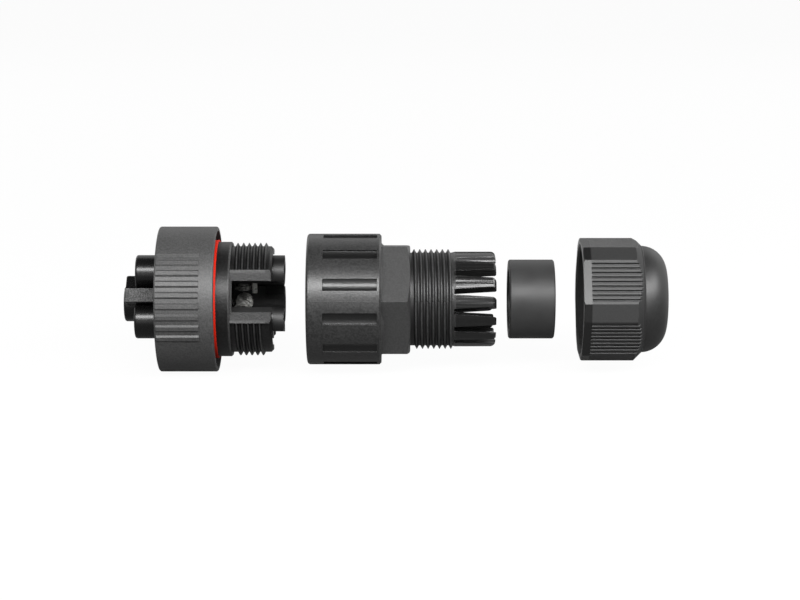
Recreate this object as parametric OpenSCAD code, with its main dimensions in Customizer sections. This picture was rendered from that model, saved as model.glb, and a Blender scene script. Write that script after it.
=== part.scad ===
// Waterproof three-pole cable plug, drawn apart along its own axis.
// The axis is +X, from the mating side to the cable; the origin is on it at the front of the ring.
// Around the axis, angle 0 points up (+Z) and 90 points to the front (-Y).

/* [Insert thread and fits] */
// Crest diameter of the thread that takes the housing
thread_d = 29.8; // [26:0.1:36]
// Depth of that thread
thread_depth = 0.9; // [0.6:0.05:1.2]
// Pitch of both threads
thread_pitch = 1.5; // [1.2:0.1:1.8]
// Wall of the sleeve under the thread
sleeve_wall = 1.8; // [1.4:0.1:2.4]
// Play between pieces that turn or slide on each other
run_gap = 0.2; // [0.15:0.01:0.3]
// Play between pieces that are seated in each other
seat_gap = 0.05; // [0.03:0.01:0.1]

/* [Coupling ring] */
// Depth of the ring in front of the sleeve's flange
mate_depth = 8; // [6:0.1:12]
// Thickness of the sleeve's flange
flange_t = 3.5; // [2.5:0.1:5]
// Height of the ring's inner lip over the sleeve's boss
lip_h = 1.95; // [1:0.05:2.1]
// Thickness of that lip
lip_t = 2.15; // [1.5:0.05:3]
// Length of the open rim behind the lip
rim_l = 1.5; // [1:0.1:2.4]
// Wall of the ring
ring_wall = 1.3; // [1.1:0.05:2]
// Rounding of the ring's edges
ring_edge = 0.45; // [0.2:0.05:0.6]
// Number of grip ribs in each of the two fields
rib_count = 9; // [5:1:11]
// Angle from rib to rib
rib_pitch = 8.7; // [7:0.1:10]
// Width of a rib at half its height
rib_w = 1.45; // [1:0.05:1.8]
// Height of a rib, which is also the width of its sloping sides
rib_h = 0.4; // [0.2:0.05:0.5]
// Length of a rib from the front of the ring
rib_l = 11.5; // [6:0.1:12]
// Height of the bayonet lugs inside the ring
lug_h = 1.2; // [0.8:0.05:1.4]
// Thickness of the lugs
lug_t = 2.4; // [1.6:0.1:3]
// Angle that one lug takes
lug_deg = 36; // [20:1:50]

/* [Sleeve] */
// Diameter of the skirt that enters the mating socket
skirt_d = 27.8; // [26.4:0.1:29]
// Step of the plain collar over the thread crest
collar_step = 0.25; // [0.1:0.05:0.5]
// Length of the plain collar behind the gasket seat
collar_l = 4.8; // [3.5:0.1:8]
// Length of the threaded end
sleeve_thread_l = 10.8; // [8:0.1:14]
// Distance of that thread's first crest from the collar
sleeve_lead = 1.3; // [1.1:0.01:1.5]
// Distance of the front flat from the axis
flat_r = 13.25; // [12.8:0.05:13.4]
// Width of the rim that closes the thread's valleys beside the flat
rim_w = 0.15; // [0.1:0.05:0.6]
// Width of the three terminal windows
window_w = 8.2; // [6.4:0.1:8.6]
// Ledge of the carrier on each side of a window
ledge_w = 0.7; // [0.5:0.05:1.2]

/* [Carrier and contacts] */
// Radius of the three lobes that hold the contacts
lobe_r = 4.7; // [4.2:0.05:5]
// Length that the lobes stand out behind the sleeve
lobe_out = 3; // [1:0.1:6]
// How much shorter the earth lobe is behind
earth_set = 0.4; // [0:0.1:1]
// Length of the webs that join the lobes behind
web_l = 5; // [3:0.1:5.4]
// Thickness of those webs
web_t = 1.8; // [1.2:0.1:2.4]
// Length of the line and neutral barrels in front of the ring
barrel_out = 6.1; // [3:0.1:9]
// How much further the earth barrel stands out
earth_lead = 4.1; // [1:0.1:5]
// Angle of the main key round the axis
key_a = 93; // [87:1:93]
// Width of the main key
key_w = 3.55; // [2.5:0.05:4]
// Length of the main key in front of the ring
key_out = 8.6; // [4:0.1:10]
// Distance of the main key's face from the axis
key_r = 9; // [8:0.1:10]
// Angle of the coding key round the axis
code_a = 330; // [326:1:334]
// How much further than the main key the coding key stands out
code_lead = 0.8; // [0:0.1:1.4]
// Width of the coding key
code_w = 2.4; // [1.6:0.1:3]
// Distance of the coding key's face from the axis
code_r = 7; // [6:0.1:8]
// Diameter of the contact pins that the sockets take
pin_d = 3.5; // [2.5:0.1:3.6]
// Outer diameter of a contact
contact_d = 4.8; // [4.6:0.05:5]
// Diameter of the wire holes
wire_d = 3; // [2.4:0.1:3.4]
// Distance of the terminal screws from the front of the ring
screw_x = 22; // [21:0.1:25]
// Diameter of a screw head
screw_head_d = 4.7; // [4:0.1:5]
// Height of a screw head
screw_head_h = 1.7; // [1.2:0.1:2]
// Diameter of a screw's shank
screw_d = 3; // [2.5:0.1:3.2]

/* [Gaskets] */
// Thickness of the flange gasket
gasket_t = 1.2; // [1:0.1:2.5]
// Radial width of the flange gasket
gasket_w = 0.5; // [0.4:0.05:1.8]
// Thickness of the seal on the skirt
mating_seal_t = 1.8; // [1:0.1:3]
// Radial width of the seal on the skirt
mating_seal_w = 1.9; // [1.2:0.1:2.2]

/* [Housing] */
// Gap between the carrier's end and the housing's mouth, drawn apart
housing_gap = 5.95; // [3:0.05:20]
// Wall of the grip
grip_wall = 1.9; // [1.6:0.1:3]
// Length of the grip
grip_l = 19.55; // [19:0.05:24]
// Rounding of the mouth
mouth_edge = 0.8; // [0.3:0.1:1.2]
// Depth of the bore that takes the sleeve
bore_l = 15.2; // [14.6:0.1:16]
// Number of grip flutes
flute_count = 12; // [8:1:14]
// Width of a flute
flute_w = 3.2; // [2:0.1:4]
// Depth of a flute's flat floor
flute_depth = 0.9; // [0.5:0.05:1.2]
// Length of a flute
flute_l = 14.1; // [8:0.1:15]
// Hexagon across flats
hex_af = 28.1; // [27.6:0.1:30]
// Length of the hexagon
hex_l = 7.6; // [5:0.1:10]
// Length of the chamfer on the hexagon's corners
hex_edge = 1.2; // [0.6:0.1:2.2]
// Crest diameter of the gland thread
gland_d = 26.4; // [25.6:0.1:27]
// Length of the gland thread
gland_thread_l = 10.2; // [8:0.1:12]
// Distance of that thread's first crest from the hexagon
gland_lead = 1.03; // [1:0.01:1.4]
// Plain neck between the gland thread and the claw
neck_l = 1.6; // [1:0.1:3]
// Bore of the neck, in front of which the seal seats
neck_d = 18.6; // [16:0.1:19.4]

/* [Claw] */
// Number of claw fingers
finger_count = 15; // [8:1:16]
// Length of the fingers
finger_l = 10.65; // [9:0.05:13]
// Thickness of the fingers
finger_t = 1.85; // [1.4:0.05:2.1]
// Width of the slots between the fingers, at their roots
slot_w = 1.25; // [1:0.05:1.6]
// Width of those slots at the fingers' tips
slot_open = 2.4; // [1.6:0.05:2.6]
// Lean of the slots from the radial direction
slot_lean = 35; // [0:1:45]
// Angle of the first slot from the housing's own zero
slot_a = 9.3; // [0:0.1:24]
// Rounding of the finger tips
tip_edge = 1.2; // [0.4:0.1:1.4]

/* [Gland seal and nut] */
// Gap between the claw and the seal, drawn apart
seal_gap = 3.55; // [1:0.05:20]
// Length of the seal
seal_l = 11.9; // [8:0.1:13]
// Wall of the seal
seal_wall = 2.55; // [1.5:0.05:3.5]
// Gap between the seal and the nut, drawn apart
nut_gap = 7; // [2:0.05:20]
// Wall of the nut between its thread and a knurled face
nut_wall = 1.86; // [1.6:0.02:3]
// Half the angle that one knurled face takes
face_half = 21.5; // [18:0.5:26]
// Length of the plain band at the nut's mouth
band_l = 2.1; // [1:0.1:4]
// Length of the nut up to its dome
nut_body_l = 16.2; // [15:0.1:20]
// Number of knurl grooves on a face
groove_count = 9; // [5:1:11]
// Distance from groove to groove
groove_pitch = 1.23; // [0.9:0.01:1.25]
// Width of a groove
groove_w = 0.66; // [0.4:0.01:0.8]
// Depth of a groove
groove_depth = 0.5; // [0.2:0.05:0.7]
// Length of the dome behind the nut's body
dome_l = 6.5; // [6:0.1:9]
// Radius of the dome's rounding
dome_edge = 6.6; // [5:0.1:7.1]
// Diameter of the dome where it leaves the body
dome_d = 28.2; // [27.6:0.1:30]
// Length of the cone that presses the fingers on the seal
cone_l = 3.5; // [3:0.1:4]
// Diameter of the cable entry
cable_d = 15.2; // [10:0.1:16]

/* [Turn of each piece about the axis] */
// Turn of the coupling ring
ring_turn = -16; // [-180:1:180]
// Turn of the sleeve
sleeve_turn = -16; // [-180:1:180]
// Turn of the carrier against the sleeve
carrier_turn = -7; // [-8:1:8]
// Turn of the housing
housing_turn = -10.6; // [-180:0.1:180]

/* [Hidden] */
$fn = 96;
over = 0.5;

// Radii, from the insert thread outwards
thread_r = thread_d / 2;
root_r = thread_r - thread_depth;
sleeve_bore_r = root_r - sleeve_wall;
collar_r = thread_r + collar_step;
gasket_in_r = collar_r + seat_gap;
gasket_out_r = gasket_in_r + gasket_w - seat_gap;
boss_r = gasket_out_r + 2 * seat_gap;
flange_r = boss_r + lip_h;
ring_bore_r = flange_r + run_gap;
ring_r = ring_bore_r + ring_wall;
lip_r = boss_r + run_gap;
rim_r = ring_bore_r + run_gap;
skirt_r = skirt_d / 2;

// Half turns and section of the thread ridges, and the rims beside the flat
half_turn = 179.4;
ridge_sink = 0.25;
ridge_w = 0.92 * thread_pitch;
crest_w = 0.08 * thread_pitch;
rim_top_r = thread_r + seat_gap;
rim_half = asin((sqrt(thread_r * thread_r - flat_r * flat_r) + rim_w) / thread_r);

// Stations along the axis, from the front of the ring
skirt_x = 2;
flange_x = mate_depth;
seal_seat_x = flange_x - mating_seal_t;
seal_seat_r = skirt_r - 0.3;
lip_x = flange_x + flange_t + run_gap - seat_gap;
ring_l = lip_x + lip_t + rim_l;
gasket_x = lip_x + lip_t + 0.6;
collar_x = gasket_x + collar_l;
sleeve_x = collar_x + sleeve_thread_l;
carrier_x = sleeve_x + lobe_out;
window_x = collar_x + 0.5;

// Carrier
pole_r = sleeve_bore_r - run_gap - lobe_r;
barrel_r = lobe_r + seat_gap;
disc_r = sleeve_bore_r - seat_gap;
disc_x = flange_x + 1.5;
channel_w = window_w - 2 * ledge_w;
web_half = 36;
contact_r = contact_d / 2;
socket_r = contact_r - 0.25;
pole_bore_r = contact_r + seat_gap;
lobe_flat = pole_r * cos(38) + pole_bore_r + 0.4;
web_end_x = carrier_x - earth_set - 0.1;
head_r = screw_head_d / 2;
dome_of_head = 2.2 * head_r;
head_in = pole_r - lobe_r - 0.1;
head_out = head_in + screw_head_h;
screw_tip = pole_r - wire_d / 2 - 0.1;
earth_a = 270;
line_a = 30;
neutral_a = 150;

// Housing, stations from its mouth
housing_x = carrier_x + housing_gap;
bore_r = collar_r + run_gap + seat_gap;
grip_r = bore_r + grip_wall;
flute_x = (grip_l - flute_l) * 0.8;
gland_r = gland_d / 2;
gland_root_r = gland_r - thread_depth;
hex_x = grip_l + hex_l;
neck_x = hex_x + gland_thread_l;
claw_x = neck_x + neck_l;
tip_x = claw_x + finger_l;
claw_r = gland_r - 0.65;
claw_in_r = claw_r - finger_t;
slot_l = finger_l + 0.4;
seat_x = claw_x - 3.15;
chamber_r = sleeve_bore_r + 2 * run_gap;
neck_r = neck_d / 2;

// Seal and nut
seal_r = claw_in_r - run_gap - seat_gap;
seal_bore_r = seal_r - seal_wall;
seal_x = housing_x + tip_x + seal_gap;
nut_x = seal_x + seal_l + nut_gap;
nut_bore_r = gland_r + run_gap;
face_r = nut_bore_r + nut_wall;
corner_r = face_r / cos(face_half);
nut_thread_l = gland_thread_l + 0.8;
nut_cavity_r = claw_r + run_gap + 2 * seat_gap;
nut_cavity_l = nut_body_l + 1.6;
nut_l = nut_body_l + dome_l;
dome_r = dome_d / 2;
cable_r = cable_d / 2;

// Points of an arc round c, from angle a to angle b
function arc(c, r, a, b, n = 6) =
    [for (i = [0 : n]) let (t = a + (b - a) * i / n) c + r * [cos(t), sin(t)]];

// Turns a shape built along z on to the plug's axis, at station x
module on_axis(x = 0, turn = 0) {
    translate([x, 0, 0])
        rotate([0, -90, 180])
            rotate([0, 0, turn])
                children();
}

// A revolved profile, given as radius and station
module turned(points) {
    rotate_extrude()
        polygon(points);
}

// A plain tube from station a to station b
module tube(r_out, r_in, a, b) {
    turned([[r_in, a], [r_out, a], [r_out, b], [r_in, b]]);
}

// Ridge of a right-hand thread on root radius r, made of half turns that lean with the lead.
// The first half turn's middle is at station first, and the last one's is not past station last.
module thread_ridge(r, first, last) {
    lean = atan(thread_pitch / 4 / r);
    for (i = [0 : floor(2 * (last - first) / thread_pitch)])
        rotate([0, 0, 180 * i])
            translate([0, 0, first + i * thread_pitch / 2])
                rotate([lean, 0, 0])
                    rotate([0, 0, -half_turn / 2])
                        rotate_extrude(angle = half_turn)
                            polygon([[r - ridge_sink, -ridge_w / 2], [r + thread_depth, -crest_w / 2],
                                [r + thread_depth, crest_w / 2], [r - ridge_sink, ridge_w / 2]]);
}

module coupling_ring() {
    color([0.2, 0.2, 0.21])
        on_axis(0, ring_turn) {
            turned(concat(
                arc([ring_r - ring_edge, ring_edge], ring_edge, -90, 0, 4),
                arc([ring_r - ring_edge, ring_l - ring_edge], ring_edge, 0, 90, 4),
                [[rim_r, ring_l], [rim_r, lip_x + lip_t], [lip_r, lip_x + lip_t], [lip_r, lip_x],
                 [ring_bore_r, lip_x], [ring_bore_r, ring_edge], [ring_bore_r + ring_edge / 2, 0]]));
            for (side = [90, 270])
                for (i = [0 : rib_count - 1])
                    grip_rib(side + (i - (rib_count - 1) / 2) * rib_pitch);
            for (i = [0 : 2])
                bayonet_lug(120 * i);
        }
}

// One grip rib with sloping sides
module grip_rib(a) {
    foot = (rib_w + rib_h) / 2;
    top = (rib_w - rib_h) / 2;
    rotate([0, 0, a])
        translate([0, 0, ring_edge])
            linear_extrude(height = rib_l - ring_edge)
                polygon([[ring_r - 0.3, -foot], [ring_r, -foot], [ring_r + rib_h, -top],
                    [ring_r + rib_h, top], [ring_r, foot], [ring_r - 0.3, foot]]);
}

// One lug of the bayonet, inside the ring's front
module bayonet_lug(a) {
    rotate([0, 0, a - lug_deg / 2])
        rotate_extrude(angle = lug_deg)
            polygon([[ring_bore_r + 0.3, 1.2], [ring_bore_r - lug_h, 1.5],
                [ring_bore_r - lug_h, 1.2 + lug_t], [ring_bore_r + 0.3, 1.2 + lug_t]]);
}

module threaded_sleeve() {
    color([0.16, 0.16, 0.17])
        on_axis(0, sleeve_turn)
            difference() {
                union() {
                    turned([[sleeve_bore_r, skirt_x], [skirt_r - 0.4, skirt_x], [skirt_r, skirt_x + 0.4],
                        [skirt_r, seal_seat_x], [seal_seat_r, seal_seat_x], [seal_seat_r, flange_x],
                        [flange_r, flange_x], [flange_r, flange_x + flange_t],
                        [boss_r, flange_x + flange_t], [boss_r, gasket_x], [collar_r, gasket_x],
                        [collar_r, collar_x - 0.3], [collar_r - 0.3, collar_x], [root_r, collar_x],
                        [root_r, sleeve_x - 0.6], [root_r - 0.6, sleeve_x], [sleeve_bore_r, sleeve_x]]);
                    thread_ridge(root_r, collar_x + sleeve_lead, sleeve_x - 1.9);
                    rotate([0, 0, 90 - rim_half])
                        flat_rim();
                }
                rotate([0, 0, 90])
                    translate([flat_r, -thread_r, collar_x])
                        cube([thread_r, 2 * thread_r, sleeve_thread_l + over]);
                for (i = [0 : 2])
                    rotate([0, 0, 90 + 120 * i])
                        translate([0, -window_w / 2, window_x])
                            cube([thread_r, window_w, sleeve_x - window_x + over]);
            }
}

// Rims of the front flat, as high as the crests, before the flat is cut
module flat_rim() {
    rotate_extrude(angle = 2 * rim_half)
        polygon([[root_r - 0.3, collar_x - over], [rim_top_r, collar_x - over],
            [rim_top_r, sleeve_x - 0.5], [rim_top_r - 0.4, sleeve_x - 0.1],
            [root_r - 0.8, sleeve_x - 0.1]]);
}

module socket_carrier() {
    color([0.09, 0.09, 0.1])
        on_axis(0, sleeve_turn + carrier_turn) {
            difference() {
                union() {
                    translate([0, 0, skirt_x])
                        cylinder(r = disc_r, h = disc_x - skirt_x);
                    for (a = [line_a, neutral_a])
                        at_pole(a) {
                            rear_lobe(carrier_x);
                            barrel(barrel_out);
                        }
                    at_pole(earth_a) {
                        rear_lobe(carrier_x - earth_set);
                        barrel(barrel_out + earth_lead);
                    }
                    key_bar(key_a, key_w, key_r, key_out);
                    key_bar(code_a, code_w, code_r, key_out + code_lead);
                }
                at_pole(earth_a)
                    contact_bore(barrel_out + earth_lead);
                for (a = [line_a, neutral_a])
                    at_pole(a)
                        contact_bore(barrel_out);
                translate([0, 0, window_x - 2.5])
                    linear_extrude(height = carrier_x) {
                        circle(r = head_out + run_gap);
                        for (a = [earth_a, line_a, neutral_a])
                            rotate([0, 0, a + 180])
                                translate([0, -channel_w / 2])
                                    square([thread_r, channel_w]);
                    }
                for (a = [earth_a, line_a, neutral_a])
                    screw_frame(a)
                        cylinder(r = screw_d / 2 + run_gap, h = pole_r);
                rotate([0, 0, 188])
                    translate([lobe_flat, -thread_r, sleeve_x + 0.2])
                        cube([thread_r, 2 * thread_r, lobe_out + over]);
            }
            lobe_web(earth_a - 60);
            lobe_web(earth_a + 60);
        }
}

// One rear lobe up to station x
module rear_lobe(x) {
    translate([0, 0, disc_x - over])
        cylinder(r = lobe_r, h = x - disc_x + over);
}

// Web that joins two lobes behind the screw channel at angle a
module lobe_web(a) {
    rotate([0, 0, a - web_half])
        rotate_extrude(angle = 2 * web_half)
            translate([pole_r - web_t, web_end_x - web_l])
                square([web_t, web_l]);
}

// Place of one pole, at angle a round the axis
module at_pole(a) {
    rotate([0, 0, a])
        translate([pole_r, 0, 0])
            children();
}

// One rear lobe up to station x
module rear_lobe(x) {
    translate([0, 0, disc_x - over])
        cylinder(r = lobe_r, h = x - disc_x + over);
}

// One front barrel with a rounded tip
module barrel(out) {
    turned(concat([[0, skirt_x + over], [0, -out]],
        arc([barrel_r - 0.6, 0.6 - out], 0.6, -90, 0, 4),
        [[barrel_r, skirt_x + over]]));
}

// One key that runs from the carrier's face to its tip
module key_bar(a, w, r, out) {
    rotate([0, 0, a])
        translate([0, w / 2, 0])
            rotate([90, 0, 0])
                linear_extrude(height = w)
                    polygon(concat([[0.5, skirt_x + over], [0.5, -out]],
                        arc([r - 0.5, 0.5 - out], 0.5, -90, 0, 3),
                        [[r, skirt_x + over]]));
}

// Stepped bore for one contact, with the mouth that the pin enters by
module contact_bore(out) {
    translate([0, 0, skirt_x + 1])
        cylinder(r = pole_bore_r, h = carrier_x);
    translate([0, 0, 1.2 - out])
        cylinder(r = socket_r + seat_gap, h = out + skirt_x);
    turned([[0, 1.2 - out + over], [0, -out - over], [pin_d / 2 + 0.6 + over, -out - over],
        [pin_d / 2 + 0.6, -out], [pin_d / 2 + 0.2, 0.6 - out], [pin_d / 2 + 0.2, 1.2 - out + over]]);
}

// Frame of one terminal screw: its axis runs from the plug's axis out to the pole
module screw_frame(a) {
    rotate([0, 0, a])
        translate([0, 0, screw_x])
            rotate([0, 90, 0])
                children();
}

module contact(a, out) {
    color([0.72, 0.6, 0.33])
        on_axis(0, sleeve_turn + carrier_turn)
            difference() {
                at_pole(a)
                    difference() {
                        turned([[0, 1.25 - out], [socket_r, 1.25 - out], [socket_r, skirt_x + 1.05],
                            [contact_r, skirt_x + 1.05], [contact_r, sleeve_x - 2.5], [0, sleeve_x - 2.5]]);
                        translate([0, 0, 1.25 - out - over])
                            cylinder(d = pin_d, h = 11 + over);
                        translate([0, 0, screw_x - 6])
                            cylinder(d = wire_d, h = sleeve_x);
                    }
                screw_frame(a)
                    cylinder(d = screw_d + run_gap, h = pole_r);
            }
}

module contact_earth() {
    contact(earth_a, barrel_out + earth_lead);
}

module contact_line() {
    contact(line_a, barrel_out);
}

module contact_neutral() {
    contact(neutral_a, barrel_out);
}

module terminal_screw(a) {
    color([0.7, 0.7, 0.68])
        on_axis(0, sleeve_turn + carrier_turn)
            screw_frame(a)
                difference() {
                    turned(concat(
                        arc([0, head_in + dome_of_head], dome_of_head, -90,
                            asin(head_r / dome_of_head) - 90),
                        [[head_r, head_out], [screw_d / 2, head_out],
                         [screw_d / 2, screw_tip - 0.4], [screw_d / 2 - 0.4, screw_tip], [0, screw_tip]]));
                    rotate([0, 0, 30])
                        translate([-head_r - over, -0.5, head_in - over])
                            cube([2 * head_r + 2 * over, 1, 1 + over]);
                }
}

module terminal_screw_earth() {
    terminal_screw(earth_a);
}

module terminal_screw_line() {
    terminal_screw(line_a);
}

module terminal_screw_neutral() {
    terminal_screw(neutral_a);
}

module flange_gasket() {
    color([0.91, 0.22, 0.1])
        on_axis()
            tube(gasket_out_r, gasket_in_r, gasket_x, gasket_x + gasket_t);
}

module mating_seal() {
    color([0.91, 0.22, 0.1])
        on_axis()
            tube(seal_seat_r + mating_seal_w, seal_seat_r + seat_gap, seal_seat_x, flange_x);
}

module housing() {
    color([0.18, 0.18, 0.19])
        on_axis(housing_x, housing_turn)
            difference() {
                union() {
                    turned(concat([[0, 0]],
                        arc([grip_r - mouth_edge, mouth_edge], mouth_edge, -90, 0, 5),
                        [[grip_r, grip_l - 0.5], [grip_r - 0.5, grip_l], [hex_af / 2 + 0.8, grip_l],
                         [hex_af / 2, grip_l + 0.8], [0, grip_l + 0.8]]));
                    intersection() {
                        translate([0, 0, grip_l - over])
                            rotate([0, 0, 30])
                                cylinder(r = hex_af / 2 / cos(30), h = hex_l + over, $fn = 6);
                        turned([[0, 0], [grip_r, 0], [grip_r, hex_x - hex_edge],
                            [hex_af / 2 - 0.3, hex_x], [0, hex_x]]);
                    }
                    turned(concat([[0, grip_l], [gland_root_r, grip_l], [gland_root_r, neck_x + 0.6],
                        [claw_r, claw_x]],
                        arc([claw_r - tip_edge, tip_x - tip_edge], tip_edge, 0, 80, 5),
                        [[0, tip_x]]));
                    thread_ridge(gland_root_r, hex_x + gland_lead, neck_x + 0.6);
                }
                turned([[0, -over], [bore_r + 0.4 + over, -over], [bore_r, 0.4], [bore_r, bore_l],
                    [chamber_r, bore_l], [chamber_r, hex_x - (chamber_r - neck_r)], [neck_r, hex_x],
                    [neck_r, seat_x], [claw_in_r, seat_x], [claw_in_r, tip_x - 0.3],
                    [claw_in_r + 0.3 + over, tip_x + over], [0, tip_x + over]]);
                for (i = [0 : flute_count - 1])
                    rotate([0, 0, (i + 0.5) * 360 / flute_count])
                        translate([grip_r - flute_depth, -flute_w / 2, flute_x])
                            cube([flute_depth + over, flute_w, flute_l]);
                for (i = [0 : finger_count - 1])
                    rotate([0, 0, slot_a + i * 360 / finger_count])
                        claw_slot();
            }
}

// One slot of the claw, leaning across the wall and widening towards the tips
module claw_slot() {
    translate([claw_r - finger_t / 2, 0, tip_x - slot_l])
        rotate([0, 0, -slot_lean])
            rotate([90, 0, 90])
                linear_extrude(height = 3.6 * finger_t, center = true)
                    polygon([[-slot_w / 2, 0], [slot_w / 2, 0], [slot_open / 2, slot_l + over],
                        [-slot_open / 2, slot_l + over]]);
}

module gland_seal() {
    color([0.13, 0.13, 0.13])
        on_axis(seal_x)
            turned([[seal_bore_r + 0.2, 0], [seal_r - 0.3, 0], [seal_r, 0.3], [seal_r, seal_l - 0.3],
                [seal_r - 0.3, seal_l], [seal_bore_r + 0.2, seal_l], [seal_bore_r, seal_l - 0.2],
                [seal_bore_r, 0.2]]);
}

// Points of one knurled face of the nut, with its grooves
function knurled_face() = let (half = face_r * tan(face_half)) concat(
    [[face_r, -half]],
    [for (i = [0 : groove_count - 1])
        let (t = (i - (groove_count - 1) / 2) * groove_pitch)
            for (p = [[face_r, t - groove_w / 2], [face_r - groove_depth, t - groove_w / 6],
                [face_r - groove_depth, t + groove_w / 6], [face_r, t + groove_w / 2]]) p],
    [[face_r, half]]);

// Points of one plain face of the nut
function plain_face() = let (half = face_r * tan(face_half)) [[face_r, -half], [face_r, half]];

// The points turned by angle a
function turned_points(points, a) = [for (p = points)
    [p.x * cos(a) - p.y * sin(a), p.x * sin(a) + p.y * cos(a)]];

// Section of the nut, from the points of one of its six faces
module nut_section(face) {
    polygon([for (i = [0 : 5]) for (p = turned_points(face, 60 * i)) p]);
}

module gland_nut() {
    chamfer = corner_r - dome_r;
    color([0.15, 0.15, 0.16])
        on_axis(nut_x)
            difference() {
                union() {
                    intersection() {
                        union() {
                            linear_extrude(height = band_l)
                                nut_section(plain_face());
                            translate([0, 0, band_l - over])
                                linear_extrude(height = nut_body_l - band_l + over)
                                    nut_section(knurled_face());
                        }
                        turned([[0, 0], [corner_r - 0.3, 0], [corner_r + 0.1, 0.4],
                            [corner_r + 0.1, nut_body_l - chamfer - 0.1],
                            [dome_r, nut_body_l], [0, nut_body_l]]);
                    }
                    turned(concat([[0, nut_body_l - 4], [dome_r, nut_body_l - 4]],
                        arc([dome_r - dome_edge, nut_l - dome_edge], dome_edge, 0, 90, 20),
                        [[0, nut_l]]));
                }
                turned([[0, -over], [nut_bore_r + 0.5 + over, -over], [nut_bore_r, 0.5],
                    [nut_bore_r, nut_thread_l], [nut_cavity_r, nut_thread_l + 0.3],
                    [nut_cavity_r, nut_cavity_l], [nut_cavity_r - cone_l, nut_cavity_l + cone_l],
                    [0, nut_cavity_l + cone_l]]);
                translate([0, 0, nut_l - dome_l])
                    cylinder(r = cable_r, h = dome_l + over);
            }
}

coupling_ring();
threaded_sleeve();
socket_carrier();
flange_gasket();
mating_seal();
contact_earth();
contact_line();
contact_neutral();
terminal_screw_earth();
terminal_screw_line();
terminal_screw_neutral();
housing();
gland_seal();
gland_nut();
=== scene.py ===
import math

import bpy
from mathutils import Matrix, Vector


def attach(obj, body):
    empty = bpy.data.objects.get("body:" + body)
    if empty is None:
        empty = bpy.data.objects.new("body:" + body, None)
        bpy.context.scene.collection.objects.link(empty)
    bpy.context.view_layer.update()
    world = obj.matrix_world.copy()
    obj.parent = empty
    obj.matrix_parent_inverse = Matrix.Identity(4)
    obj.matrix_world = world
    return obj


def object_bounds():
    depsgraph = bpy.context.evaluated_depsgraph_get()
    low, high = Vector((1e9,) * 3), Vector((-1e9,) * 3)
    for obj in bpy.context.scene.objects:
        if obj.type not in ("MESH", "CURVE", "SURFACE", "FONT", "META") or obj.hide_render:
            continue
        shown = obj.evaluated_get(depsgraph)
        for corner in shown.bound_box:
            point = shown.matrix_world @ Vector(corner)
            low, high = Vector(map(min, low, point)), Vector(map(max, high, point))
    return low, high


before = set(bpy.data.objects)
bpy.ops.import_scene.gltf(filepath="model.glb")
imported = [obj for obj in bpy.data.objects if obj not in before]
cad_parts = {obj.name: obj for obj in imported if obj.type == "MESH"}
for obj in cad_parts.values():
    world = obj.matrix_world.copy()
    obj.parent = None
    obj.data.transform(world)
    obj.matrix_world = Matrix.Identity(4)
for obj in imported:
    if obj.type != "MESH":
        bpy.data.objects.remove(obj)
cad_low, cad_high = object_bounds()

MM = 0.001

# Sizes of the plug in millimetres: from and to along its axis, which is +X, or distances from that axis
OUTSIDE = 20                            # further from the axis than any piece reaches
GRIP_R = 17.3
FLUTES = (43.31, 57.41)
FLUTE_W = 3.2
FLUTE_FLOOR = 16.4                      # the flat that the housing has at the bottom of a flute
FLUTE_ANGLES = [4.4 + 30 * i for i in range(12)]
FLOOR_TILT = 25                         # degrees, how steep the hollow floor gets at its sides
FLOOR_LIFT = 0.02                       # how far the middle of the hollow floor stands off the flat
FLOOR_SUNK = 0.1                        # how far the underside of the hollow floor lies below the flat
FLOOR_STRIPS = 12                       # strips side by side that make the hollow
SEAM_ANGLE = 79.4                       # degrees, where the two halves of the housing's mould meet
SEAM_BEAD = (17.9, 0.2, 0.2)
SEAM_MIDDLE = 48.9
SEAM_SUNK = 0.05                        # how far the middle of the bead lies below the grip
SEAM_ROUNDING = 0.06
CLAMP_STRIP = (1.35, 0.8, 3.5)
CLAMP_PLACE = (25.15, -2.6, 3.95)
CLAMP_ROUNDING = 0.15
INSERT_THREAD = (18.7, 28.4)
INSERT_CREST = 14.9
GLAND_THREAD = (66.3, 76.8)
GLAND_CREST = 13.2
NUT_BORE = 14.6

# Zones with a finish of their own, some of them with painted shade or a painted highlight: limits in
# millimetres on x, y, z or r, the distance from the axis
# Painted highlight: the insert thread's crests are painted paler than its dark valleys
INSERT_CRESTS = {"x": INSERT_THREAD, "r": (INSERT_CREST - 0.3, OUTSIDE)}
FRONT_KEY = {"x": (-20, 2), "y": (-OUTSIDE, -6), "z": (0.8, OUTSIDE)}
# Painted shade inside the terminal windows
TERMINAL_WINDOWS = {"x": (19, 40), "r": (0, 9.5)}
REAR_LOBES = {"x": (30.2, 40)}
# Painted shade on the earth lobe's side that faces the terminal windows
EARTH_LOBE_INSIDE = {"x": (30.2, 40), "y": (0, 6.7)}
# Painted shade in the grip's flutes
GRIP_FLUTES = {"x": FLUTES, "r": (0, GRIP_R - 0.2)}
HEXAGON = {"x": (58.5, 66.1)}
# Painted shade in the gland thread's valleys, and below a painted highlight on its crests
GLAND_VALLEYS = {"x": GLAND_THREAD, "r": (0, GLAND_CREST - 0.6)}
GLAND_CRESTS = {"x": GLAND_THREAD, "r": (GLAND_CREST - 0.25, OUTSIDE)}
CLAW = {"x": (77.9, 100)}
NUT_BAND = {"x": (109.5, 113.1)}
# Painted shade inside the nut's cavity
NUT_CAVITY = {"x": (109.5, 127.0), "r": (0, NUT_BORE)}
NUT_DOME = {"x": (127.0, 140.0)}


# Small helpers for modelling
def take(piece):
    """Makes one piece the only one selected, and the active one."""
    bpy.ops.object.select_all(action="DESELECT")
    piece.select_set(True)
    bpy.context.view_layer.objects.active = piece


def settle():
    """Puts the active piece's place into its mesh, and its object at the origin."""
    bpy.ops.object.transform_apply(location=True, rotation=True, scale=True)
    return bpy.context.object


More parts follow.
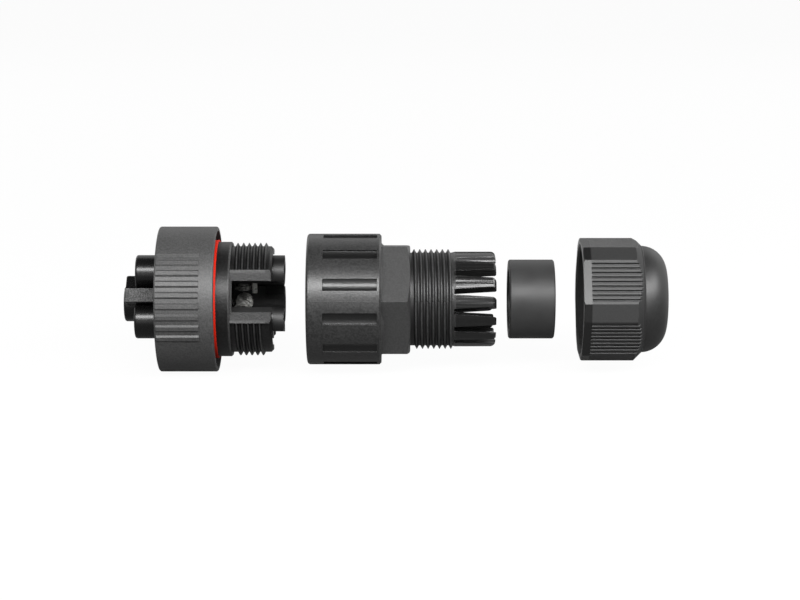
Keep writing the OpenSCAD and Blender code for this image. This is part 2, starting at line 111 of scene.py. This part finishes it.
def pick(piece, wanted):
    """In edit mode, selects the vertices that wanted(place in mm) is true of, and nothing else."""
    bpy.ops.mesh.select_all(action="DESELECT")
    bpy.ops.object.mode_set(mode="OBJECT")
    for v in piece.data.vertices:
        v.select = bool(wanted(v.co / MM))
    bpy.ops.object.mode_set(mode="EDIT")


def round_edges(piece, width_mm):
    """Rounds the edges of a piece with a bevel of two steps."""
    take(piece)
    bevel = piece.modifiers.new("rounding", "BEVEL")
    bevel.width = width_mm * MM
    bevel.segments = 2
    bpy.ops.object.modifier_apply(modifier=bevel.name)


def plate(size, place):
    """A plain block as a start, with its middle at a place, both in millimetres."""
    bpy.ops.object.select_all(action="DESELECT")
    bpy.ops.mesh.primitive_cube_add(size=1)
    block = bpy.context.object
    block.scale = Vector(size) * MM
    block.location = Vector(place) * MM
    return settle()


def turned_copy(piece, angle):
    """A copy with its own mesh, turned round the plug's axis by degrees."""
    copy = piece.copy()
    copy.data = piece.data.copy()
    bpy.context.scene.collection.objects.link(copy)
    copy.rotation_euler = (math.radians(angle), 0, 0)
    take(copy)
    return settle()


def hand_over(piece, name, body, material):
    """Names a finished piece, smooths it up to edges of 30 degrees, and lets it ride on its body."""
    take(piece)
    bpy.ops.object.shade_smooth_by_angle(angle=math.radians(30))
    piece.name = piece.data.name = name
    piece.data.materials.clear()
    piece.data.materials.append(material)
    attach(piece, body)


# Small helpers for materials
def linear(hex_colour):
    """An sRGB hex colour as linear red, green, blue and alpha."""
    shares = [int(hex_colour[i:i + 2], 16) / 255 for i in (1, 3, 5)]
    levels = [c / 12.92 if c <= 0.04045 else ((c + 0.055) / 1.055) ** 2.4 for c in shares]
    return (*levels, 1.0)


def add(tree, kind, settings=None, **inputs):
    """Adds one node with its settings; each input is a value or the socket that feeds it.
    An input is named by its label with _ for a space, or by i and its number where labels repeat:
    a Mix node's two numbers are i2 and i3, and its two colours i6 and i7."""
    made = tree.nodes.new(kind)
    for name, value in (settings or {}).items():
        setattr(made, name, value)
    for key, value in inputs.items():
        numbered = key[0] == "i" and key[1:].isdigit()
        socket = made.inputs[int(key[1:])] if numbered else made.inputs[key.replace("_", " ")]
        if isinstance(value, bpy.types.NodeSocket):
            tree.links.new(value, socket)
        else:
            socket.default_value = value
    return made


def new_tree(name):
    """A fresh material and its empty node tree."""
    material = bpy.data.materials.new(name)
    material.use_nodes = True
    material.node_tree.nodes.clear()
    return material, material.node_tree


def millimetres(tree):
    """The place on the piece in millimetres."""
    place = add(tree, "ShaderNodeTexCoord").outputs["Object"]
    scaled = add(tree, "ShaderNodeVectorMath", {"operation": "SCALE"}, Vector=place, Scale=1 / MM)
    return scaled.outputs[0]


ZONE_EDGE = 0.08            # millimetres to either side in which one finish gives way to the next


def zone_mask(tree, place, limits):
    """1 inside a zone and 0 outside, from a ramp at each of its limits."""
    axes = add(tree, "ShaderNodeSeparateXYZ", Vector=place)
    flat = add(tree, "ShaderNodeCombineXYZ", Y=axes.outputs["Y"], Z=axes.outputs["Z"])
    away = add(tree, "ShaderNodeVectorMath", {"operation": "LENGTH"}, i0=flat.outputs[0])
    sources = {
        "x": axes.outputs["X"],
        "y": axes.outputs["Y"],
        "z": axes.outputs["Z"],
        "r": away.outputs["Value"],
    }
    ramps = []
    for name, (low, high) in limits.items():
        rising = add(tree, "ShaderNodeMapRange", Value=sources[name],
                     From_Min=low - ZONE_EDGE, From_Max=low + ZONE_EDGE)
        falling = add(tree, "ShaderNodeMapRange", Value=sources[name],
                      From_Min=high + ZONE_EDGE, From_Max=high - ZONE_EDGE)
        ramps += [rising.outputs[0], falling.outputs[0]]
    mask = ramps[0]
    for ramp in ramps[1:]:
        mask = add(tree, "ShaderNodeMath", {"operation": "MULTIPLY"}, i0=mask, i1=ramp).outputs[0]
    return mask


# What the materials show, in millimetres
FLOW_CLOUD = 7              # clouds that the melt leaves where it flowed
GRAIN_DEPTH = 0.03
DRAW_WAVE = 1.1             # waves along a part that was drawn out of its mould
DRAW_LENGTH = 30            # how many times longer than wide such a wave is
DRAW_DEPTH = 0.26
RUBBER_BLOOM = 6
RUBBER_SKIN_DEPTH = 0.02
RUBBER_EDGE = 0.25
PLATING_SPOT = 2.5
TURNING_DEPTH = 0.02
METAL_EDGE = 0.12

POLYAMIDE_IOR = 1.53
RUBBER_IOR = 1.52
NOISE_LOW = 0.3             # most of a noise texture lies between these two
NOISE_HIGH = 0.7
EDGE_SAMPLES = 6


def moulded_polyamide(name, dark, light, rough, shine, grain_mm, grain, edge_mm=0.2, draw_marks=None,
                      zones=()):
    """Glass-filled polyamide, moulded in an eroded steel mould: a fine grain that breaks the gloss, pale
    specks of fibre, faint flow clouds, and edges that the mould leaves a little round. The grain is drawn
    coarser than the real 0.05 mm, so that it shows. Each zone has its limits, two colours and roughness,
    and a later zone lies over an earlier one. Some zones are where the mould was polished or eroded
    differently; others paint shade or a highlight into the colour, darker in hollows and thread valleys
    and paler on thread crests.
    draw_marks are the limits of a polished zone that slid along the axis out of its mould, which left it
    wavy lengthwise and without grain."""
    material, tree = new_tree(name)
    place = millimetres(tree)
    clouds = add(tree, "ShaderNodeTexNoise", Vector=place, Scale=1 / FLOW_CLOUD, Detail=3.0)
    grit = add(tree, "ShaderNodeTexNoise", Vector=place, Scale=1 / grain_mm, Detail=2.0, Roughness=0.6)
    specks = add(tree, "ShaderNodeMapRange", Value=grit.outputs["Fac"], From_Min=0.4, From_Max=0.6)
    tint = add(tree, "ShaderNodeMix", Factor=0.65, i2=clouds.outputs["Fac"],
               i3=specks.outputs[0]).outputs[0]
    colour = add(tree, "ShaderNodeMix", {"data_type": "RGBA"}, Factor=tint, i6=linear(dark),
                 i7=linear(light)).outputs[2]
    rough_here = rough
    for limits, zone_dark, zone_light, zone_rough in zones:
        mask = zone_mask(tree, place, limits)
        zone_colour = add(tree, "ShaderNodeMix", {"data_type": "RGBA"}, Factor=tint,
                          i6=linear(zone_dark), i7=linear(zone_light)).outputs[2]
        colour = add(tree, "ShaderNodeMix", {"data_type": "RGBA"}, Factor=mask, i6=colour,
                     i7=zone_colour).outputs[2]
        rough_here = add(tree, "ShaderNodeMix", Factor=mask, i2=rough_here, i3=zone_rough).outputs[0]
    spread = add(tree, "ShaderNodeMapRange", Value=grit.outputs["Fac"], From_Min=NOISE_LOW,
                 From_Max=NOISE_HIGH, To_Min=0.96, To_Max=1.04)
    gloss = add(tree, "ShaderNodeMath", {"operation": "MULTIPLY"}, i0=rough_here, i1=spread.outputs[0])
    height = grit.outputs["Fac"]
    if draw_marks:
        polished = zone_mask(tree, place, draw_marks)
        eroded = add(tree, "ShaderNodeMath", {"operation": "SUBTRACT"}, i0=1.0, i1=polished)
        height = add(tree, "ShaderNodeMath", {"operation": "MULTIPLY"}, i0=height,
                     i1=eroded.outputs[0]).outputs[0]
    rounded = add(tree, "ShaderNodeBevel", {"samples": EDGE_SAMPLES}, Radius=edge_mm * MM)
    normal = add(tree, "ShaderNodeBump", Strength=grain, Distance=GRAIN_DEPTH * MM, Height=height,
                 Normal=rounded.outputs[0]).outputs[0]
    if draw_marks:
        lengthwise = add(tree, "ShaderNodeVectorMath", {"operation": "MULTIPLY"}, i0=place,
                         i1=(1 / DRAW_LENGTH, 1, 1))
        waves = add(tree, "ShaderNodeTexNoise", Vector=lengthwise.outputs[0], Scale=1 / DRAW_WAVE,
                    Detail=2.0)
        level = add(tree, "ShaderNodeMath", {"operation": "SUBTRACT"}, i0=waves.outputs["Fac"], i1=0.5)
        marks = add(tree, "ShaderNodeMath", {"operation": "MULTIPLY"}, i0=level.outputs[0], i1=polished)
        normal = add(tree, "ShaderNodeBump", Strength=0.9, Distance=DRAW_DEPTH * MM,
                     Height=marks.outputs[0], Normal=normal).outputs[0]
    skin = add(tree, "ShaderNodeBsdfPrincipled", Base_Color=colour, Roughness=gloss.outputs[0],
               IOR=POLYAMIDE_IOR, Specular_IOR_Level=shine, Normal=normal)
    add(tree, "ShaderNodeOutputMaterial", Surface=skin.outputs[0])
    return material


def moulded_rubber(name, dark, light, rough, shine, grain_mm):
    """Moulded rubber: soft and matte, with a slight bloom and a very fine skin, which is drawn coarser
    than it is, so that it shows."""
    material, tree = new_tree(name)
    place = millimetres(tree)
    bloom = add(tree, "ShaderNodeTexNoise", Vector=place, Scale=1 / RUBBER_BLOOM, Detail=4.0)
    skin_grain = add(tree, "ShaderNodeTexNoise", Vector=place, Scale=1 / grain_mm, Detail=2.0)
    colour = add(tree, "ShaderNodeMix", {"data_type": "RGBA"}, Factor=bloom.outputs["Fac"],
                 i6=linear(dark), i7=linear(light))
    gloss = add(tree, "ShaderNodeMapRange", Value=bloom.outputs["Fac"], From_Min=NOISE_LOW,
                From_Max=NOISE_HIGH, To_Min=rough - 0.05, To_Max=rough + 0.05)
    rounded = add(tree, "ShaderNodeBevel", {"samples": EDGE_SAMPLES}, Radius=RUBBER_EDGE * MM)
    bump = add(tree, "ShaderNodeBump", Strength=0.2, Distance=RUBBER_SKIN_DEPTH * MM,
               Height=skin_grain.outputs["Fac"], Normal=rounded.outputs[0])
    skin = add(tree, "ShaderNodeBsdfPrincipled", Base_Color=colour.outputs[2],
               Roughness=gloss.outputs[0], IOR=RUBBER_IOR, Specular_IOR_Level=shine,
               Normal=bump.outputs[0])
    add(tree, "ShaderNodeOutputMaterial", Surface=skin.outputs[0])
    return material


def plated_metal(name, dark, light, rough, mark_mm, metal):
    """Turned and plated metal: pale, with fine turning marks and duller spots where the plating is thin.
    A dull plating is partly a powdery film, so metal is the share that mirrors."""
    material, tree = new_tree(name)
    place = millimetres(tree)
    spots = add(tree, "ShaderNodeTexNoise", Vector=place, Scale=1 / PLATING_SPOT, Detail=3.0)
    marks = add(tree, "ShaderNodeTexNoise", Vector=place, Scale=1 / mark_mm, Detail=2.0)
    worn = add(tree, "ShaderNodeMix", Factor=0.6, i2=spots.outputs["Fac"], i3=marks.outputs["Fac"])
    wear = add(tree, "ShaderNodeMapRange", Value=worn.outputs[0], From_Min=0.38, From_Max=0.62)
    colour = add(tree, "ShaderNodeMix", {"data_type": "RGBA"}, Factor=wear.outputs[0],
                 i6=linear(dark), i7=linear(light))
    gloss = add(tree, "ShaderNodeMapRange", Value=marks.outputs["Fac"], From_Min=NOISE_LOW,
                From_Max=NOISE_HIGH, To_Min=rough - 0.06, To_Max=rough + 0.06)
    rounded = add(tree, "ShaderNodeBevel", {"samples": EDGE_SAMPLES}, Radius=METAL_EDGE * MM)
    bump = add(tree, "ShaderNodeBump", Strength=0.08, Distance=TURNING_DEPTH * MM,
               Height=marks.outputs["Fac"], Normal=rounded.outputs[0])
    skin = add(tree, "ShaderNodeBsdfPrincipled", Base_Color=colour.outputs[2], Metallic=metal,
               Roughness=gloss.outputs[0], Normal=bump.outputs[0])
    add(tree, "ShaderNodeOutputMaterial", Surface=skin.outputs[0])
    return material


# The ring: a dry, sandy satin of middle grey
ring_polyamide = moulded_polyamide(
    "ring_polyamide_satin", dark="#202020", light="#464646", rough=0.55, shine=0.9,
    grain_mm=0.4, grain=1.4, edge_mm=0.1)
# The sleeve: nearly black, coarsely eroded so that its gloss breaks up, with crests painted grey as
# painted highlight
sleeve_polyamide = moulded_polyamide(
    "sleeve_polyamide_eroded", dark="#040404", light="#161616", rough=0.4, shine=0.42,
    grain_mm=0.55, grain=2.2, edge_mm=0.07,
    zones=[(INSERT_CRESTS, "#2a2a2a", "#404040", 0.4)])
# The carrier: black and glossy, with a sandy grey key, half glossy rear lobes, and painted shade in its
# terminal windows and on the earth lobe's near side, which are painted darker and dull
carrier_polyamide = moulded_polyamide(
    "carrier_polyamide_glossy", dark="#070707", light="#0c0c0c", rough=0.27, shine=0.5,
    grain_mm=0.35, grain=0.06,
    zones=[(FRONT_KEY, "#1a1a1a", "#707070", 0.8),
           (TERMINAL_WINDOWS, "#040404", "#070707", 0.85),
           (REAR_LOBES, "#060606", "#0c0c0c", 0.45),
           (EARTH_LOBE_INSIDE, "#040404", "#070707", 0.85)])
# The housing: a satin grip whose glossier flutes are painted darker as painted shade, a paler hexagon, a
# gland thread with painted shade in its valleys and a painted grey highlight on its crests, and a
# polished black claw with long broken highlights
housing_polyamide = moulded_polyamide(
    "housing_polyamide_satin", dark="#191919", light="#353535", rough=0.36, shine=0.64,
    grain_mm=0.5, grain=1.4, edge_mm=0.08, draw_marks=CLAW,
    zones=[(GRIP_FLUTES, "#0a0a0a", "#121212", 0.3),
           (HEXAGON, "#323232", "#3d3d3d", 0.36),
           (GLAND_VALLEYS, "#0a0a0a", "#101010", 0.5),
           (GLAND_CRESTS, "#343434", "#464646", 0.4),
           (CLAW, "#0c0c0c", "#161616", 0.26)])
# The nut: a dull, even satin, with a polished black band in front, a smoother dome, and painted shade in
# its cavity, which is painted darker and dull
nut_polyamide = moulded_polyamide(
    "nut_polyamide_satin", dark="#151515", light="#212121", rough=0.56, shine=0.7,
    grain_mm=0.45, grain=0.04, edge_mm=0.12,
    zones=[(NUT_BAND, "#060606", "#0b0b0b", 0.33),
           (NUT_CAVITY, "#030303", "#060606", 0.8),
           (NUT_DOME, "#141414", "#202020", 0.46)])
# The gland seal: black rubber with a broad, soft shine
seal_rubber = moulded_rubber(
    "seal_rubber_matte", dark="#272727", light="#373737", rough=0.48, shine=0.46, grain_mm=0.4)
# The gasket and the mating seal: silicone in a strong, flat orange red
gasket_silicone = moulded_rubber(
    "gasket_silicone_orange", dark="#d01e07", light="#e0270b", rough=0.6, shine=0.25, grain_mm=0.3)
# The contacts: turned brass, warm and clear
contact_brass = plated_metal(
    "contact_brass_turned", dark="#8c7340", light="#b79a5c", rough=0.35, mark_mm=0.3, metal=1.0)
# The terminal screws: steel with a dull grey zinc plating, scuffed and spotted
screw_zinc = plated_metal(
    "screw_zinc_plated", dark="#4a4a48", light="#9c9c98", rough=0.42, mark_mm=0.7, metal=0.55)

FINISH = {
    "coupling_ring": ring_polyamide,
    "threaded_sleeve": sleeve_polyamide,
    "socket_carrier": carrier_polyamide,
    "flange_gasket": gasket_silicone,
    "mating_seal": gasket_silicone,
    "contact_earth": contact_brass,
    "contact_line": contact_brass,
    "contact_neutral": contact_brass,
    "terminal_screw_earth": screw_zinc,
    "terminal_screw_line": screw_zinc,
    "terminal_screw_neutral": screw_zinc,
    "housing": housing_polyamide,
    "gland_seal": seal_rubber,
    "gland_nut": nut_polyamide,
}
for node_name, finish in FINISH.items():
    cad_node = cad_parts[node_name]
    cad_node.data.materials.clear()
    cad_node.data.materials.append(finish)

# The hollow floor of a grip flute, on the flat that the housing has there: a plane that is cut into
# strips, bent up towards its sides, and thickened down into the housing
flute_middle = (FLUTES[0] + FLUTES[1]) / 2
hollow_r = FLUTE_W / 2 / math.sin(math.radians(FLOOR_TILT))
bpy.ops.object.select_all(action="DESELECT")
bpy.ops.mesh.primitive_plane_add(size=1)
flute_floor = bpy.context.object
flute_floor.scale = ((FLUTES[1] - FLUTES[0]) * MM, FLUTE_W * MM, 1)
flute_floor.location = Vector((flute_middle, 0, FLUTE_FLOOR + FLOOR_LIFT)) * MM
settle()
bpy.ops.object.mode_set(mode="EDIT")
bpy.ops.mesh.select_mode(type="VERT")
bpy.ops.mesh.subdivide(number_cuts=FLOOR_STRIPS - 1)
for step in range(FLOOR_STRIPS + 1):
    across = (step / FLOOR_STRIPS - 0.5) * FLUTE_W
    pick(flute_floor, lambda p: abs(p.y - across) < 0.01)
    up = hollow_r - math.sqrt(hollow_r ** 2 - across ** 2)
    bpy.ops.transform.translate(value=(0, 0, up * MM))
bpy.ops.mesh.select_all(action="SELECT")
bpy.ops.mesh.extrude_region_move(TRANSFORM_OT_translate={"value": (0, 0, -FLOOR_SUNK * MM)})
underside = Vector((flute_middle, 0, FLUTE_FLOOR - FLOOR_SUNK)) * MM
bpy.ops.transform.resize(value=(1, 1, 0), center_override=underside)
bpy.ops.mesh.select_all(action="SELECT")
bpy.ops.mesh.normals_make_consistent(inside=False)
bpy.ops.object.mode_set(mode="OBJECT")
for number, angle in enumerate(FLUTE_ANGLES, 1):
    hand_over(turned_copy(flute_floor, angle), f"flute_floor_{number}", "housing",
              housing_polyamide)
bpy.data.objects.remove(flute_floor)

# The bead that the mould's two halves leave along the grip, on both sides
seam_bead = plate(SEAM_BEAD, (SEAM_MIDDLE, 0, GRIP_R - SEAM_SUNK))
round_edges(seam_bead, SEAM_ROUNDING)
for side, angle in (("front", SEAM_ANGLE), ("rear", SEAM_ANGLE + 180)):
    hand_over(turned_copy(seam_bead, angle), f"seam_bead_{side}", "housing",
              housing_polyamide)
bpy.data.objects.remove(seam_bead)

# The clamp strip beside the upper terminal screw
clamp_strip = plate(CLAMP_STRIP, CLAMP_PLACE)
round_edges(clamp_strip, CLAMP_ROUNDING)
hand_over(clamp_strip, "clamp_strip", "insert", screw_zinc)

# Camera
IMAGE_W = 800               # pixels
PX = 0.265 * MM             # what one pixel of the image spans at the plug's axis
FOCAL_PX = 2300
SENSOR_W = 36
CAMERA_UP = 13.3            # degrees above the line of pieces
SHIFT_PX = -1
aim = Vector((63.4, 0, 0)) * MM
camera_rise = math.radians(CAMERA_UP)
to_camera = Vector((0, -math.cos(camera_rise), math.sin(camera_rise)))
camera_data = bpy.data.cameras.new("camera")
camera_data.sensor_width = SENSOR_W
camera_data.lens = FOCAL_PX * SENSOR_W / IMAGE_W
camera_data.shift_y = SHIFT_PX / IMAGE_W
camera_data.clip_end = 20
camera = bpy.data.objects.new("camera", camera_data)
bpy.context.scene.collection.objects.link(camera)
camera.location = aim + to_camera * FOCAL_PX * PX
camera.rotation_euler = to_camera.to_track_quat("Z", "Y").to_euler()
bpy.context.scene.camera = camera


# Light
def soft_light(name, width, height, distance, up, side, power):
    """A soft box that faces the plug, up degrees above the table and side degrees round to the right,
    with its size and distance in metres and its power in watts."""
    data = bpy.data.lights.new(name, "AREA")
    data.shape = "RECTANGLE"
    data.size = width
    data.size_y = height
    data.energy = power
    lamp = bpy.data.objects.new(name, data)
    lamp.visible_camera = False
    bpy.context.scene.collection.objects.link(lamp)
    e = math.radians(up)
    s = math.radians(side)
    way = Vector((math.sin(s) * math.cos(e), -math.cos(s) * math.cos(e), math.sin(e)))
    lamp.location = aim + way * distance
    lamp.rotation_euler = way.to_track_quat("Z", "Y").to_euler()


soft_light("front_strip", width=0.6, height=0.14, distance=0.5, up=36.5, side=0, power=3.6)
soft_light("right_strip", width=0.3, height=0.2, distance=0.5, up=32, side=58, power=1.6)
soft_light("front_fill", width=0.6, height=0.4, distance=0.5, up=18, side=0, power=0.5)
soft_light("left_panel", width=0.8, height=0.6, distance=0.6, up=12, side=-120, power=1.0)
soft_light("right_panel", width=0.8, height=0.6, distance=0.6, up=12, side=120, power=1.0)
soft_light("back_panel", width=0.9, height=0.5, distance=0.6, up=35, side=180, power=0.9)

world = bpy.data.worlds.new("studio")
bpy.context.scene.world = world
world.use_nodes = True
world.node_tree.nodes.clear()
air = add(world.node_tree, "ShaderNodeBackground", Color=(1, 1, 1, 1), Strength=0.1)
add(world.node_tree, "ShaderNodeOutputWorld", Surface=air.outputs[0])
bpy.context.scene.view_settings.view_transform = "Standard"

# Floor: a pale matt table that the camera sees as white, with the plug's shadow on it; to other rays it
# is a middle grey. Mirrored in the plug it shows a painted reflection: a glow that only glossy and
# transmission rays see, dim in front of the plug and brighter behind it
TABLE_SIZE = 6
TABLE_MIDDLE = (0.06, 0, cad_low.z)
WHITE_SHARE = 0.96          # how much of what the camera sees there is plain white
MIRROR_FRONT = 0.1          # how bright the mirrored table is in front of the plug
MIRROR_BACK = 0.55          # and behind it
MIRROR_REACH = 60.0         # millimetres behind the plug's axis where it gets that bright
bpy.ops.object.select_all(action="DESELECT")
bpy.ops.mesh.primitive_plane_add(size=TABLE_SIZE, location=TABLE_MIDDLE)
floor = settle()
floor.name = "floor"
pale_table, table_tree = new_tree("pale_table_matt")
rays = add(table_tree, "ShaderNodeLightPath")
mirrored = add(table_tree, "ShaderNodeMath", {"operation": "MAXIMUM"},
               i0=rays.outputs["Is Glossy Ray"], i1=rays.outputs["Is Transmission Ray"])
behind = add(table_tree, "ShaderNodeSeparateXYZ", Vector=millimetres(table_tree)).outputs["Y"]
# Painted reflection: how strongly the table glows in mirrors, rising from front to back
painted_glow_share = add(table_tree, "ShaderNodeMapRange", Value=behind, From_Min=0.0, From_Max=MIRROR_REACH,
          To_Min=MIRROR_FRONT, To_Max=MIRROR_BACK)
in_mirror = add(table_tree, "ShaderNodeMath", {"operation": "MULTIPLY"}, i0=mirrored.outputs[0],
                i1=painted_glow_share.outputs[0])
share = add(table_tree, "ShaderNodeMath", {"operation": "MULTIPLY_ADD"},
            i0=rays.outputs["Is Camera Ray"], i1=WHITE_SHARE, i2=in_mirror.outputs[0])
paper = add(table_tree, "ShaderNodeMix", {"data_type": "RGBA"}, Factor=rays.outputs["Is Camera Ray"],
            i6=linear("#5a5a5a"), i7=linear("#fafafa"))
matt = add(table_tree, "ShaderNodeBsdfDiffuse", Color=paper.outputs[2])
glow = add(table_tree, "ShaderNodeEmission", Color=(1, 1, 1, 1), Strength=1.0)
both = add(table_tree, "ShaderNodeMixShader", i0=share.outputs[0], i1=matt.outputs[0],
           i2=glow.outputs[0])
add(table_tree, "ShaderNodeOutputMaterial", Surface=both.outputs[0])
floor.data.materials.append(pale_table)
